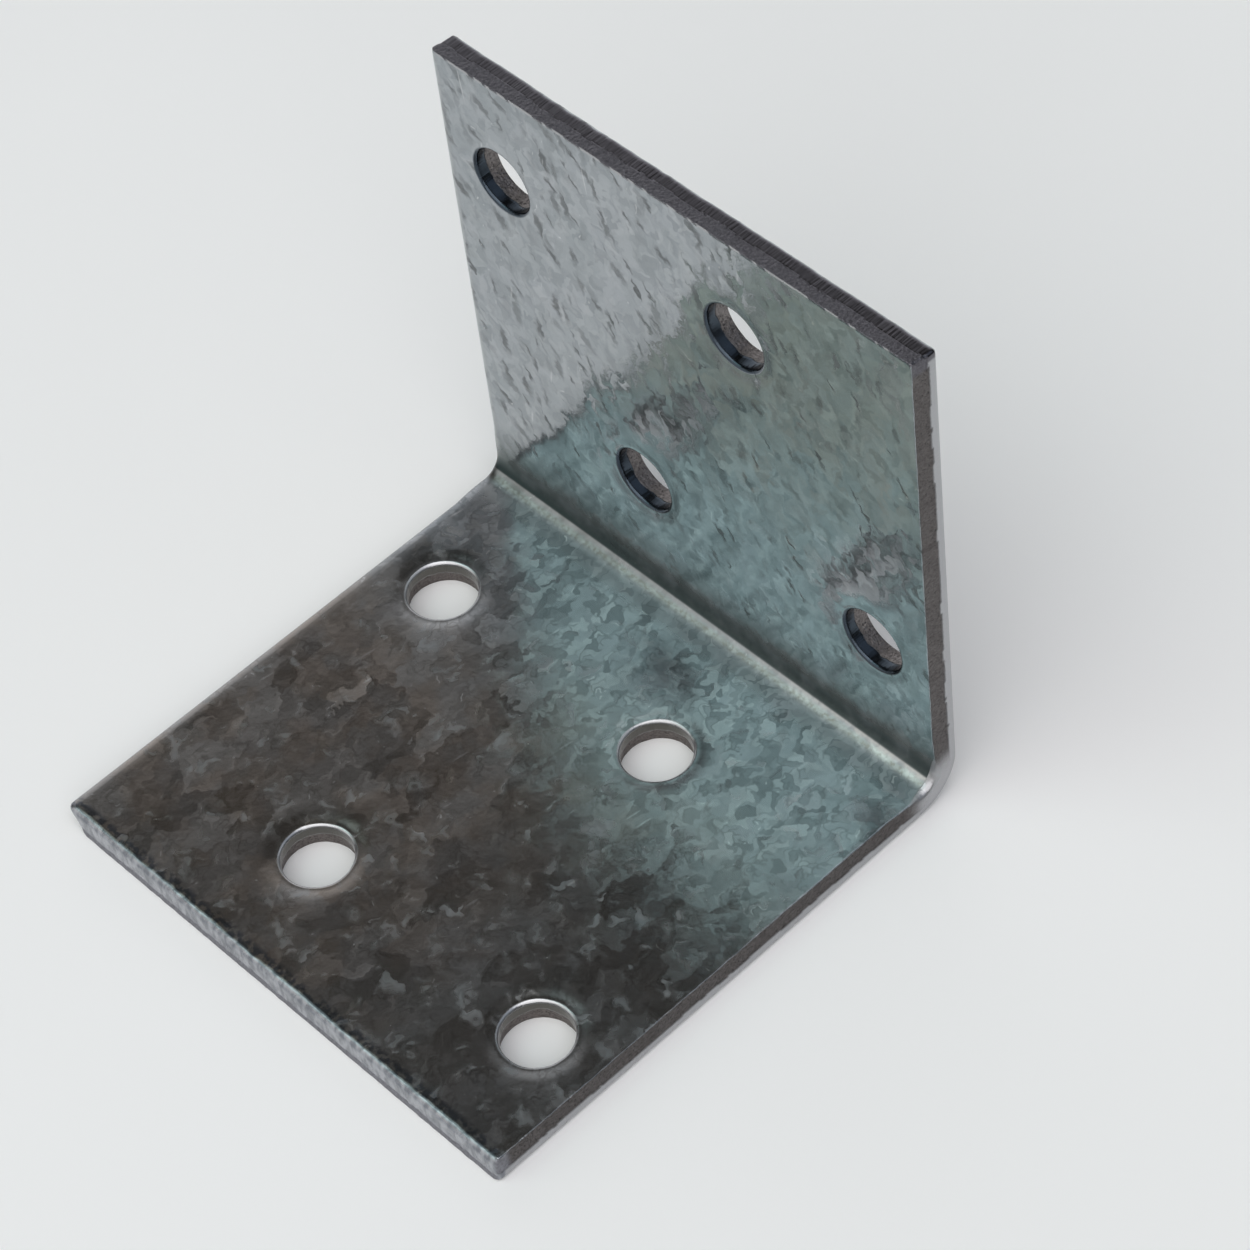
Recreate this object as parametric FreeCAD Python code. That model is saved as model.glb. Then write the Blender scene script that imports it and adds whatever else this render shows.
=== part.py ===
"""Angle bracket: one strip of galvanised sheet, punched, cropped and folded to a right angle.

The base leg lies on z = 0 and the wall leg rises at the back, on the +Y side. The fold runs along X.
The origin is the middle of the square that the bracket covers on the surface it stands on.
"""
import FreeCAD, Part
import math
import os

V = FreeCAD.Vector

# Sheet and legs, in millimetres
width = 40.0                   # along the fold
base_leg_length = 40.0         # from the back of the wall leg to the free end
wall_leg_length = 40.0         # from the underside of the base leg to the free end
sheet_thickness = 2.0
inside_bend_radius = 1.5

# Screw holes: rows are counted from each free end, and each row takes every second column
hole_diameter = 4.7
row_end_distance = 8.2         # free end to the first row
row_pitch = 20.0
column_pitch = 10.0
column_edge_distance = 5.0     # least distance from a slit edge to a column
hole_bend_clearance = 2.0      # least flat left between a hole and the fold
wall_first_column = 0          # column that the wall leg's end row starts from
base_first_column = 1          # column that the base leg's end row starts from

# Punched holes: a rounded mouth on the inner face, a smooth wall, then a torn wall that opens outwards
hole_mouth_radius = 0.25
hole_mouth_flats = 3           # narrow rings that make up the rounding
hole_smooth_share = 0.30       # part of the thickness
hole_flare = 0.12              # growth of the radius over the torn wall

# Slit edges along both sides: rounded over at one face, smooth, then a torn band that falls back towards
# the other face. Each comes from the opposite side of a cut, so the right edge, at +X, rounds over at the
# outer face and the left one at the inner face.
slit_rounding = 0.30
slit_smooth_share = 0.30       # part of the thickness, rounding included
slit_lean = 0.10               # how far the torn band falls back

# Cropped free ends: rounded over at one face, smooth, then a torn band that stands out at the other face.
# They have opposite hands too: the base leg rolls over at its inner face and the wall leg at its outer face.
end_rounding = 0.40
end_smooth_share = 0.35        # part of the thickness
end_lean = 0.10                # how far the torn band stands out

# Swelling at both ends of the fold, where the squeezed metal stands out of the slit edges
swell_height = 0.25
swell_depth_share = 0.75       # part of the thickness that it reaches into, from the inner face

# Sizes that follow from those above
hole_radius = hole_diameter / 2
outside_bend_radius = inside_bend_radius + sheet_thickness
inner_face = inside_bend_radius    # distance of each face from the fold's axis
outer_face = outside_bend_radius
half_width = width / 2
overshoot = sheet_thickness    # how far a cutting tool runs past the sheet
least_difference = 0.001       # lengths closer than this count as equal

# Legs and fold are built round the fold's axis, which is the X axis until the last step. The wall leg
# stands on z = 0 there, with its inner and outer faces at those distances along Y.


def polygon_face(edges):
    """Return the flat face inside a closed run of edges."""
    return Part.Face(Part.Wire(edges))


def line(start, end):
    """Return a straight edge."""
    return Part.LineSegment(start, end).toShape()


def rounded_corner(start, centre, end):
    """Return the arc of a rounding, which passes through the middle of the turn from start to end."""
    radius = (start - centre).Length
    towards_middle = (start + end) * 0.5 - centre
    middle = centre + towards_middle.normalize() * radius
    return Part.Arc(start, middle, end).toShape()


def slit_edge(side, rolled_face, torn_face):
    """Return one slit edge of the strip's section, from the torn to the rolled face; side is 1 or -1."""
    inwards = math.copysign(1, torn_face - rolled_face)
    tear_start = rolled_face + inwards * slit_smooth_share * sheet_thickness
    rounding_end = rolled_face + inwards * slit_rounding
    torn_corner = V(side * (half_width - slit_lean), torn_face, 0)
    tear_end = V(side * half_width, tear_start, 0)
    smooth_end = V(side * half_width, rounding_end, 0)
    centre = V(side * (half_width - slit_rounding), rounding_end, 0)
    rolled_corner = V(side * (half_width - slit_rounding), rolled_face, 0)
    edges = [
        line(torn_corner, tear_end),
        line(tear_end, smooth_end),
        rounded_corner(smooth_end, centre, rolled_corner),
    ]
    return torn_corner, rolled_corner, edges


def strip_section():
    """Return the section across the strip, in the plane z = 0."""
    right_inner, right_outer, right_edges = slit_edge(1, rolled_face=outer_face, torn_face=inner_face)
    left_outer, left_inner, left_edges = slit_edge(-1, rolled_face=inner_face, torn_face=outer_face)
    outer_line = line(right_outer, left_outer)
    inner_line = line(left_inner, right_inner)
    return polygon_face(right_edges + [outer_line] + left_edges + [inner_line])


def leg_side_view(flat_length, rolled_face, torn_face):
    """Return the wall leg seen along the fold, in the plane x = 0; the faces are given by their y."""
    inwards = math.copysign(1, torn_face - rolled_face)
    smooth_height = flat_length - end_lean
    rounding_end = rolled_face + inwards * end_rounding
    tear_start = rounding_end + inwards * end_smooth_share * sheet_thickness
    rolled_foot = V(0, rolled_face, 0)
    rolled_top = V(0, rolled_face, smooth_height - end_rounding)
    centre = V(0, rounding_end, smooth_height - end_rounding)
    smooth_top = V(0, rounding_end, smooth_height)
    tear_top = V(0, tear_start, smooth_height)
    torn_top = V(0, torn_face, flat_length)
    torn_foot = V(0, torn_face, 0)
    return polygon_face([
        line(rolled_foot, rolled_top),
        rounded_corner(rolled_top, centre, smooth_top),
        line(smooth_top, tear_top),
        line(tear_top, torn_top),
        line(torn_top, torn_foot),
        line(torn_foot, rolled_foot),
    ])


def hole_mouth():
    """Return the points of a hole's mouth, on a quarter circle from the inner face to the smooth wall."""
    points = []
    for step in range(hole_mouth_flats + 1):
        turn = math.radians(90 * step / hole_mouth_flats)
        from_axis = hole_radius + hole_mouth_radius * (1 - math.sin(turn))
        depth = hole_mouth_radius * (1 - math.cos(turn))
        points.append(V(from_axis, inner_face + depth, 0))
    return points


def punched_hole(x, z):
    """Return the solid that a punched hole takes out of the wall leg, with its axis along Y."""
    tear_start = inner_face + hole_mouth_radius + hole_smooth_share * sheet_thickness
    exit_radius = hole_radius + hole_flare
    above = inner_face - overshoot
    below = outer_face + overshoot
    mouth = hole_mouth()
    corners = [V(0, above, 0), V(mouth[0].x, above, 0)] + mouth
    corners += [V(hole_radius, tear_start, 0), V(exit_radius, outer_face, 0)]
    corners += [V(exit_radius, below, 0), V(0, below, 0), V(0, above, 0)]
    profile = Part.Face(Part.makePolygon(corners))
    hole = profile.revolve(V(0, 0, 0), V(0, 1, 0), 360)
    hole.translate(V(x, 0, z))
    return hole


def column_places():
    """Return the x of every column that fits between the slit edges, centred on the width."""
    spare = width - 2 * column_edge_distance
    count = int((spare + least_difference) / column_pitch) + 1
    first = -(count - 1) * column_pitch / 2
    return [first + column * column_pitch for column in range(count)]


def hole_places(flat_length, first_column):
    """Return x and z of a leg's holes: rows from the free end to the fold, columns taken in turn."""
    columns = column_places()
    lowest = hole_radius + hole_bend_clearance
    places = []
    row_z = flat_length - row_end_distance
    start = first_column
    while row_z >= lowest:
        places += [(x, row_z) for x in columns[start::2]]
        start = 1 - start
        row_z -= row_pitch
    return places


def make_leg(leg_length, first_column, rolled_face, torn_face):
    """Return the flat part of a leg, standing as the wall leg does."""
    flat_length = leg_length - outside_bend_radius
    strip = strip_section().extrude(V(0, 0, flat_length))
    side_view = leg_side_view(flat_length, rolled_face, torn_face)
    side_view.translate(V(-width, 0, 0))
    leg = strip.common(side_view.extrude(V(2 * width, 0, 0)))
    holes = [punched_hole(x, z) for x, z in hole_places(flat_length, first_column)]
    return leg.cut(holes)


def turn_fold(section):
    """Return a section in the plane z = 0 turned round the fold, from the wall leg to the base leg."""
    return section.revolve(V(0, 0, 0), V(1, 0, 0), -90)


def mirror_to_base(shape):
    """Return a wall leg's shape mirrored across the fold's middle, where the base leg lies."""
    return shape.mirror(V(0, 0, 0), V(0, 1, 1))


def make_swelling(side):
    """Return the low cap of squeezed metal at one end of the fold; side is 1 or -1."""
    reach = inner_face + swell_depth_share * sheet_thickness
    cap_radius = (reach ** 2 + swell_height ** 2) / (2 * swell_height)
    top = half_width + swell_height
    cap = Part.makeSphere(cap_radius, V(side * (top - cap_radius), 0, 0), V(1, 0, 0))
    foot_x = side * (half_width - slit_rounding - slit_lean)
    deepest = outer_face - slit_rounding
    inner_side = [V(foot_x, inner_face, 0), V(side * top, inner_face, 0)]
    outer_side = [V(side * top, deepest, 0), V(foot_x, deepest, 0)]
    band = Part.Face(Part.makePolygon(inner_side + outer_side + inner_side[:1]))
    wall_foot = band.extrude(V(0, 0, reach))
    run = turn_fold(band).fuse([wall_foot, mirror_to_base(wall_foot)]).removeSplitter()
    return run.common(cap)


def make_bracket():
    """Return the whole bracket, standing on z = 0 with its footprint centred on the origin."""
    wall_leg = make_leg(wall_leg_length, wall_first_column, rolled_face=outer_face, torn_face=inner_face)
    base_leg = make_leg(base_leg_length, base_first_column, rolled_face=inner_face, torn_face=outer_face)
    swellings = [make_swelling(side) for side in (-1, 1)]
    fold = turn_fold(strip_section())
    bracket = fold.fuse([wall_leg, mirror_to_base(base_leg)] + swellings).removeSplitter()
    fold_axis_y = base_leg_length / 2 - outside_bend_radius
    bracket.translate(V(0, fold_axis_y, outside_bend_radius))
    return bracket.Solids[0]


os.makedirs("parts", exist_ok=True)
bracket = make_bracket()
bracket.exportStep("parts/angle_bracket.step")
print("angle_bracket", "valid", bracket.isValid(), "volume mm3", round(bracket.Volume, 2))
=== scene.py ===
"""The look of the angle bracket: folded zinc-coated sheet with its cut edges and punched rims."""
import math

import bmesh
import bpy
import numpy as np
from mathutils import Matrix, Vector, noise
from mathutils.geometry import delaunay_2d_cdt


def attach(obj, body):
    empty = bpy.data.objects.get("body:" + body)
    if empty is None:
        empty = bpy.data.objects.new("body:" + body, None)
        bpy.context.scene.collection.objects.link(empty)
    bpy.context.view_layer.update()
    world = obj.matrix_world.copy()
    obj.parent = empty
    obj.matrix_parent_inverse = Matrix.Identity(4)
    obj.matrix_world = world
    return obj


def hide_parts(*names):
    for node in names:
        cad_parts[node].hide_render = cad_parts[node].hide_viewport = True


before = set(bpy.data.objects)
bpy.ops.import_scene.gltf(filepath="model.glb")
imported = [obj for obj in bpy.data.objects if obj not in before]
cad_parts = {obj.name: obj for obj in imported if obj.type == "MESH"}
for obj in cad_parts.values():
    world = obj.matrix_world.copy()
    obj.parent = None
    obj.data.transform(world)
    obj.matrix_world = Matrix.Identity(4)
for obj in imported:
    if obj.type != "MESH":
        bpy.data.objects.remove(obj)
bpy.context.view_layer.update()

# Sheet, with the sizes of the solid; lengths are in millimetres where nothing else is said
millimetre = 0.001  # in metres
half_width = 20.0
leg_length = 40.0
thickness = 2.0
inside_radius = 1.5
outside_radius = inside_radius + thickness
half_fold = inside_radius * math.pi / 4  # half the fold, measured along the inner face
flat_length = leg_length - outside_radius
strip_end = half_fold + flat_length  # middle of the fold to a free end, along the inner face
fold_y = leg_length / 2 - outside_radius  # the fold's axis
fold_z = outside_radius

# Screw holes: x and distance from the free end
hole_radius = 2.35
column = half_width / 4
row_step = 20.0
end_row = 8.2
fold_row = end_row + row_step
wall_holes = [(-3 * column, end_row), (column, end_row), (-column, fold_row), (3 * column, fold_row)]
base_holes = [(-column, end_row), (3 * column, end_row), (-3 * column, fold_row), (column, fold_row)]

# Wall of a punched hole
mouth_radius = 0.25
mouth_wander = 0.25  # share by which the mouth's rounding varies
mouth_wander_size = 2.0
mouth_dip = 0.09  # how far the punch drew the face down round the mouth
dip_reach = 0.55
hole_smooth = 0.60  # depth of the smooth wall
hole_flare = 0.12
hole_tear_wander = 0.16
hole_tear_size = 0.9
hole_tear_roughness = 0.05
hole_tear_level = 0.6  # share of the roughness that is the same all round
hole_rough_size = 0.6
hole_noise_radius = 2.2  # the circle along which the unevenness is taken from the noise

# Slit edges: rolled, smooth, then torn; the right one from the outer face, the left one from the inner
slit_rounding = 0.30
slit_roll_stretch = 2.0  # the rounding runs out this much further along the face
slit_tear_depth = 1.22  # depth of the torn band, from its own face
slit_tear_wander = 0.10
slit_tear_size = 1.6
slit_tear_step = 0.03
slit_tear_roughness = 0.05
slit_rough_size = 0.7
slit_lean = 0.10
slit_corner = 0.05  # rounding at the torn face

# Swelling at the ends of the fold, where the squeezed metal is rounded and smooth
fold_corner = 0.45  # rounding at the inner face there
fold_corner_reach = 1.7
fold_corner_least = 0.05  # share of it below which it is left out
swell_height = 0.25
swell_reach = 3.0
swell_inset = 1.2  # how far in from the slit edge the swelling starts

# Free ends: rolled, smooth, then torn; the base leg's from the inner face, the wall leg's from the outer
end_rounding = 0.40
end_rounding_wander = 0.30
end_broad_share = 0.6  # that wander is made of a broad and a fine part
end_broad_size = 3.0
end_fine_share = 0.5
end_fine_size = 0.7
end_smooth = {1: 0.70, -1: 1.10}  # depth of the smooth band on the wall leg and on the base leg
end_bare_start = {1: 0.6, -1: 0.0}  # share of the rounding down to which the zinc is kept, likewise
end_bare_slope = 4.0  # how quickly the zinc ends below that
end_tear_wander = 0.12
end_tear_size = 1.2
end_tear_roughness = 0.05
end_rough_size = 0.6
end_lean = 0.10
end_corner = 0.05  # a bright burr runs along it here and there
burr_size = 1.0
# Worn corners: radius at the inner and at the outer face, by side of x and end
worn_corners = {(1, 1): (0.15, 0.15), (-1, 1): (0.15, 0.15), (1, -1): (0.2, 0.3), (-1, -1): (0.3, 1.6)}

# Noise behind the unevenness: fall, step and number of its octaves, and layers independent of each other
noise_octaves = (1.0, 2.0, 3)
first_layer = 0.0
burr_layer = 2.0
hole_tear_layer = 3.0
end_fine_layer = 5.0
end_tear_layer = 9.0
hole_layer_step = 20.0

# Mesh of the edges: stations round the outline, and rows from the inner to the outer face
station_step = 0.17
fold_steps = 24
fold_columns = 64
rim_x = half_width - 0.8  # where the fine rows of the edges end on both faces
rim_end = strip_end - 1.3
stretch_length = 2.0  # stations this near to a corner are spread out to reach it
roll_steps = 6
band_step = 0.1
face_shares = [1.0, 0.45, 0.12]  # rows that lie on a face, as shares of the way to its last fine row
scatter_step = 2.0  # between the loose points inside a face
tolerance = 1e-6
merge_distance = 1e-7

# Mesh of the holes: rings from the inner to the outer face
hole_points = 112
inner_ring = 3.6  # radius of the outermost ring on each face
outer_ring = 3.2
dip_shares = [0.6, 0.35, 0.2, 0.1, 0.03]  # rings on the inner face, as shares of the way from the mouth
mouth_steps = 8
smooth_shares = [0.25, 0.5, 0.75, 1.0]
tear_steps = 10
brim_shares = [0.04, 0.3, 1.0]  # rings on the outer face, as shares of the way from the brim
ring_share = 0.999  # triangles nearer than this share of a ring's radius lie in the hole

# Camera, in the bracket's frame: its place in metres and its turn in degrees
camera_place = Vector((0.139209, -0.098979, 0.218559))
camera_azimuth = 51.6817
camera_elevation = 49.9093
camera_roll = -7.8968
camera_lens = 126.086
camera_sensor = 36.0
camera_near = 0.01  # in metres

# Light: a dim room, broad glows by direction with the angles of their core and rim, and one soft lamp
room_colour = (0.040, 0.036, 0.031)
room_glows = [
    ((-0.78, 0.60, 0.08), 10.0, 52.0, (0.95, 0.95, 0.97)),
    ((-0.50, -0.80, 0.33), 14.0, 36.0, (0.95, 0.94, 0.91)),
    ((-0.50, -0.10, 0.86), 4.0, 17.0, (0.46, 0.56, 0.54)),
    ((-0.40, -0.42, 0.81), 4.0, 20.0, (1.23, 1.56, 1.49)),
    ((0.50, 0.40, 0.75), 16.0, 42.0, (0.34, 0.38, 0.44)),
    ((0.05, -0.04, 1.0), 8.0, 22.0, (1.6, 1.6, 1.6)),
]
key_direction = (0.42, -0.52, 0.745)
key_distance = 1.6  # in metres, as its size is
key_size = 2.2
key_radiance = 1.6
key_colour = (1.0, 0.985, 0.985)

# Floor, in metres
floor_reach = 1.5
floor_noise = (0.05, 3.0)
floor_colours = ((0.89, 0.89, 0.89), (0.92, 0.92, 0.92))
floor_roughness = 0.7

# Spans: the values between which something sets in, and its strengths there where not 0 and 1
base_along = (0.0, -2.0)
inside_depth = (0.6, 0.2)
hole_across = (half_width - 1.0, half_width - 2.0)
hole_along = (strip_end - 2.0, strip_end - 3.0)
slit_across = (half_width - 0.7, half_width - 0.4)
slit_along = (strip_end - 0.9, strip_end - 1.4)
wall_end_along = (strip_end - 0.8, strip_end - 0.5)
wall_end_depth = (0.06, 0.12)
base_end_along = (0.8 - strip_end, 0.5 - strip_end)

# Noise that the marks share: size and detail, and how far it pushes the patterns about
outer_face_shift = 57.0  # sets the patterns of the two faces apart
drift_noise = (1.5, 1.0)
ripple_noise = (0.5, 3.0)
speckle_noise = (0.3, 3.0)
ruffle_noise = (0.4, 0.0)
broad_push = 0.9
fine_push = 0.2
ruffled_share = 0.3  # share of the broad push that is felt by the strokes

# Strengths on the wall leg and on the base leg
facet_contrast = (0.5, 1.0)
seam_darkening = (0.1, 0.5)
stroke_darkening = (0.9, 0.3)
stroke_dulling = (1.0, 0.35)
fleck_dulling = (0.1, 0.75)
leg_roughness = (0.11, 0.18)
leg_lean = (1.6, 1.0)

# Zinc coat: grains, the facets within them and soft mottle, with spans of their random shades
grain_size = 1.7
grain_stretch = (1.0, 0.6, 1.0)
grain_colours = ((0.335, 0.365, 0.385), (0.39, 0.415, 0.44))
facet_size = 0.6
facet_stretch = (1.0, 0.75, 1.0)
dark_facets = (0.45, 0.0, 0.0, 0.85)
dark_facet_colour = (0.22, 0.245, 0.26)
pale_facets = (0.65, 1.0, 0.0, 0.7)
pale_facet_colour = (0.50, 0.525, 0.54)
facet_fading = (-10.0, -20.0, 1.0, 0.4)
mottle_noise = (1.0, 2.0)
mottle_stretch = (1.0, 0.5, 1.0)
pale_mottle = (0.5, 0.75, 0.0, 0.3)
pale_mottle_colour = (0.50, 0.515, 0.53)
dark_mottle = (0.5, 0.28, 0.0, 0.3)
dark_mottle_colour = (0.26, 0.28, 0.29)

# Seams between facets and bright specks in them: spans of the distance, and where they are found
seam_width = (0.16, 0.03)
seam_patches = (0.45, 0.6)
seam_colour = (0.17, 0.19, 0.20)
speck_width = (0.16, 0.08)
speck_rarity = (0.92, 0.99)
speck_strength = 0.6

# Strokes: slant in radians, shift, cell's breadth, breadth over length, width and softness in it, rarity
stroke_forms = [
    (0.22, 0.0, 0.90, 0.30, 0.38, 0.5, 0.42),
    (0.85, 40.0, 1.00, 0.32, 0.34, 0.5, 0.46),
]
dash_forms = [
    (0.60, 60.0, 0.55, 0.28, 0.38, 0.5, 0.72),
]
fleck_forms = [
    (1.2, 80.0, 1.2, 0.5, 0.36, 0.9, 0.58),
    (-0.5, 120.0, 0.8, 0.6, 0.36, 0.9, 0.58),
]
scratch_forms = [
    (0.10, 160.0, 1.3, 0.045, 0.05, 0.3, 0.75),
    (-0.15, 200.0, 0.9, 0.15, 0.09, 0.5, 0.75),
]
stroke_from_fold = (1.2, 1.8)
stroke_corner = (6.0, 30.0, 0.3, 1.0)  # towards the wall leg's upper left corner
stroke_colour = (0.13, 0.14, 0.145)
scratch_strength = 0.45
bright_colour = (0.70, 0.71, 0.72)

# Tarnish on the base leg, and the dark lines of painted shade before its end and along the rolled left edge
tarnish_along = (-5.0, -18.0)
tarnish_across = (-4.0, 16.0, 1.0, 0.35)
tarnish_noise = (3.5, 3.0)
tarnish_by_grain = 0.16
tarnish_patches = (0.44, 0.74, 0.42, 0.72)
tarnish_by_fleck = (0.0, 1.0, 1.0, 0.5)
tarnish_colour = (0.37, 0.31, 0.26)
shadow_along = (1.3 - strip_end, 0.8 - strip_end)
shadow_breaks = (0.38, 0.58)
shadow_strength = 0.75
shadow_colour = (0.09, 0.11, 0.14)
rolled_shade_across = (0.9 - half_width, 0.45 - half_width)
rolled_shade_strength = 0.2
rolled_shade_colour = (0.12, 0.125, 0.13)

# Painted highlight and shade on the fold's inner face: where each begins and ends along the strip, and its
# variation
lower_shade_start = (-0.9, -0.5)
lower_shade_stop = (-0.15, -0.42)
lower_shade_speckle = (0.3, 0.6, 1.0, 0.6)
lower_shade_colour = (0.27, 0.255, 0.24)
left_shade_start = (-0.9, -0.3)
left_shade_stop = (0.5, 0.2)
left_shade_across = (-half_width, half_width, 0.75, 0.0)
left_shade_drift = (0.3, 0.6, 1.0, 0.7)
left_shade_colour = (0.13, 0.135, 0.13)
highlight_start = (-0.55, 0.0)
highlight_wander = (0.3, 0.7, -0.25, 0.25)
highlight_stop = (0.2, 0.05)
highlight_across = (0.0, half_width, 0.1, 0.9)
highlight_speckle = (0.3, 0.6, 0.55, 0.95)
highlight_colour = (0.54, 0.55, 0.535)
foot_shade_start = (0.02, 0.22, 0.0, 0.85)
foot_shade_stop = (8.0, 0.6)
foot_shade_power = 2.5
foot_shade_drift = (0.2, 0.6, 0.7, 1.0)
foot_shade_colour = (0.10, 0.125, 0.12)
dark_line_start = (-0.02, 0.13)
dark_line_stop = (1.3, 0.2)
dark_line_across = (-half_width, half_width, 0.9, 0.7)
dark_line_colour = (0.022, 0.034, 0.035)

# Cut steel: colours, in pairs from dark to pale where they vary, and the noise and spans behind them
zinc_fading = (0.0, 0.35)  # span of smooth over which the zinc gives way
slit_smooth = (0.41, 0.415, 0.43)
# The wall leg's end gets a dark copy of the smooth steel, as painted shade
shaded_wall_end_smooth = ((0.08, 0.078, 0.087), (0.18, 0.176, 0.195))
base_end_smooth = ((0.21, 0.22, 0.245), (0.40, 0.41, 0.44))
# The holes' smooth walls are dark copies too, as painted shade: bluish in the wall leg, below the pale
# mouth in the base leg
shaded_wall_hole_smooth = (0.06, 0.076, 0.095)
base_mouth = (0.48, 0.485, 0.50)
shaded_base_hole_smooth = (0.13, 0.125, 0.115)
mouth_fading = (0.75, 1.0)  # span of smooth from the mouth to the wall
streak_noise = (0.5, 3.0)
streak_stretch = (1.0, 1.0, 0.4)
streak_shades = (0.35, 0.65)
slit_torn = ((0.06, 0.054, 0.053), (0.19, 0.175, 0.172))
# Painted shade keeps the torn steel dark on the wall leg's end; painted light makes it paler on the base
# leg's end and in the wall leg's holes
shaded_wall_end_torn = ((0.07, 0.068, 0.077), (0.21, 0.205, 0.228))
lit_base_end_torn = ((0.13, 0.13, 0.145), (0.36, 0.36, 0.395))
lit_wall_hole_torn = ((0.125, 0.113, 0.11), (0.38, 0.352, 0.345))
base_hole_torn = ((0.09, 0.08, 0.076), (0.28, 0.25, 0.24))
torn_noise = (0.2, 2.0)
pit_noise = (0.13, 2.0)
pit_depths = (0.57, 0.66, 0.0, 0.7)
pit_colour = (0.03, 0.028, 0.028)

# Roughness that is added to each leg's own
grain_roughness = 0.05
dull_roughness = 0.22
fold_roughness = 0.16
fold_rough_reach = (2.6, 1.2)
mouth_roughness = 0.06
smooth_roughness = 0.06
torn_roughness = 0.34

# Lean of the normal, and fine relief
grain_lean = 0.018
facet_lean = 0.014
dull_lean = 0.05
lean_from_fold = (0.8, 2.2, 0.4, 1.0)
fold_lean = 0.07
fold_lean_reach = (1.6, 1.0)
dish_lean = (0.0, -0.022, 0.0)
dish_across = (-4.0, 12.0)
dish_start = (-8.0, -16.0)
dish_stop = (-30.0, -22.0)
run_out_lean = (-0.065, 0.0, 0.0)
run_out_across = (1.1 - half_width, 0.5 - half_width)
relief_height = 0.0001  # in metres
torn_relief_noise = (0.22, 1.0)
drawn_relief_noise = (0.16, 1.0)
drawn_relief_stretch = (1.0, 1.0, 0.12)
drawn_relief = 0.2
coat_relief = 0.05


def ragged(x, along, layer, size):
    """Return a rough value between about -1 and 1 that varies over the given size."""
    return noise.fractal(Vector((x, along, layer)) / size, *noise_octaves)


def rounding_inset(radius, distance, stretch=1.0):
    """Return how far a rounded corner stands back at a distance from where it starts."""
    share = max(0.0, 1 - distance / radius)
    return stretch * radius * (1 - math.sqrt(1 - share * share))


def slit_form(side, along, depth):
    """Return how far a slit edge stands back, and how torn or smooth it is there."""
    edge = side * half_width
    squeezed = math.exp(-(along / fold_corner_reach) ** 4)
    corner_inset = rounding_inset(fold_corner * squeezed, depth) if squeezed > fold_corner_least else 0.0
    if side < 0:
        depth = thickness - depth
    boundary = slit_tear_depth + slit_tear_wander * ragged(edge, along, first_layer, slit_tear_size)
    roll_inset = rounding_inset(slit_rounding, thickness - depth, slit_roll_stretch)
    inset = max(corner_inset, roll_inset) + rounding_inset(slit_corner, depth)
    if depth >= boundary:
        return inset, 0.0, float(thickness - depth > slit_rounding / 2)
    rough = (1 + ragged(edge, along, depth, slit_rough_size)) / 2
    tear = slit_lean * (1 - depth / boundary) + slit_tear_step + slit_tear_roughness * rough
    torn = float(depth > slit_corner / 2) * (1 - squeezed)
    return inset + tear * (1 - squeezed), torn, squeezed


def end_form(side, x, depth):
    """Return how far a cropped end stands back, and how torn or smooth it is there."""
    end = side * strip_end
    if side > 0:
        depth = thickness - depth
    broad = end_broad_share * ragged(x, end, first_layer, end_broad_size)
    fine = end_fine_share * ragged(x, end, end_fine_layer, end_fine_size)
    roll = end_rounding * (1 + end_rounding_wander * (broad + fine))
    tear = roll + end_smooth[side] + end_tear_wander * ragged(x, end, end_tear_layer, end_tear_size)
    if depth < tear:
        bare = end_bare_slope * (depth / roll - end_bare_start[side])
        return end_lean + rounding_inset(roll, depth), 0.0, min(1.0, max(0.0, bare))
    burr = float(thickness - depth < end_corner and ragged(x, end, burr_layer, burr_size) > 0)
    rough = (1 + ragged(x, end, depth, end_rough_size)) / 2
    inset = end_lean * (thickness - depth) / (thickness - tear) + end_tear_roughness * rough
    return inset + rounding_inset(end_corner, thickness - depth), 1 - burr, burr


def row_depths():
    """Return the depths of the edge rows: close together where the free ends roll over, else even."""
    turns = [math.pi / 2 * step / roll_steps for step in range(roll_steps)]
    roll = [end_rounding * (1 - math.cos(turn)) for turn in turns]
    count = round((thickness - 2 * end_rounding) / band_step)
    middle = list(np.linspace(end_rounding, thickness - end_rounding, count + 1))
    return roll + middle + [thickness - depth for depth in roll[::-1]]


class Sheet:
    """Collects the strip's points, with what the surface is like there, and its faces."""

    def __init__(self):
        self.points = []
        self.torn = []
        self.smooth = []
        self.faces = []

    def add(self, x, along, depth, torn=0.0, smooth=0.0):
        """Add a point and return its number."""
        self.points.append((x, along, depth))
        self.torn.append(torn)
        self.smooth.append(smooth)
        return len(self.points) - 1

    def join_rows(self, rows, closed):
        """Add the quads between neighbouring rows of points."""
        for upper, lower in zip(rows, rows[1:]):
            count = len(upper) if closed else len(upper) - 1
            for i in range(count):
                k = (i + 1) % len(upper)
                self.faces.append((upper[i], upper[k], lower[k], lower[i]))


def slit_stations():
    """Return places along a slit edge, from the base leg's end to the wall leg's."""
    count = round((rim_end - half_fold) / station_step)
    flat = list(np.linspace(half_fold, rim_end, count + 1))
    fold = list(np.linspace(-half_fold, half_fold, fold_steps + 1))
    return [-place for place in flat[:0:-1]] + fold + flat[1:]


def end_stations():
    """Return places along a free end, from left to right."""
    return list(np.linspace(-rim_x, rim_x, round(2 * rim_x / station_step) + 1))


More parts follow.
